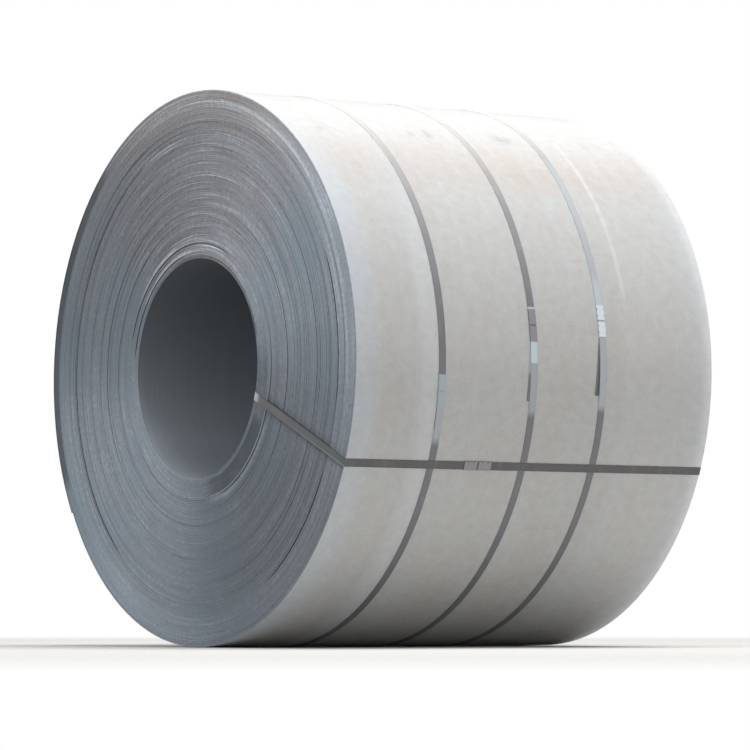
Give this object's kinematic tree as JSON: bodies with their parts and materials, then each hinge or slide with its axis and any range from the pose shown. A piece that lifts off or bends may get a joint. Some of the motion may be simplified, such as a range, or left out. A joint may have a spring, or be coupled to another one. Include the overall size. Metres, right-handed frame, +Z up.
{
  "type": "steel coil",
  "caption": "Strapped coil of hot-rolled steel strip lying with its bore level, held by straps round its outside and one strap through its bore.",
  "frame": {"origin": "on the floor, below the middle of the coil", "axes": "+Z up, +Y along the bore towards the rear end, +X towards the side that the straps' seals are on"},
  "size_m": [1.9263, 1.509, 1.9214],
  "materials": {
    "strip": "hot-rolled, mill scale",
    "strapping": "blued",
    "seals": "bright, crimped"
  },
  "bodies": {
    "root": {"coil": "strip", "front_strap": "strapping", "front_strap_upper_seal": "seals", "front_strap_lower_seal": "seals", "middle_strap": "strapping", "middle_strap_upper_seal": "seals", "middle_strap_lower_seal": "seals", "rear_strap": "strapping", "rear_strap_upper_seal": "seals", "rear_strap_lower_seal": "seals", "eye_strap": "strapping", "eye_strap_front_seal": "seals", "eye_strap_rear_seal": "seals"}
  },
  "joints": []
}
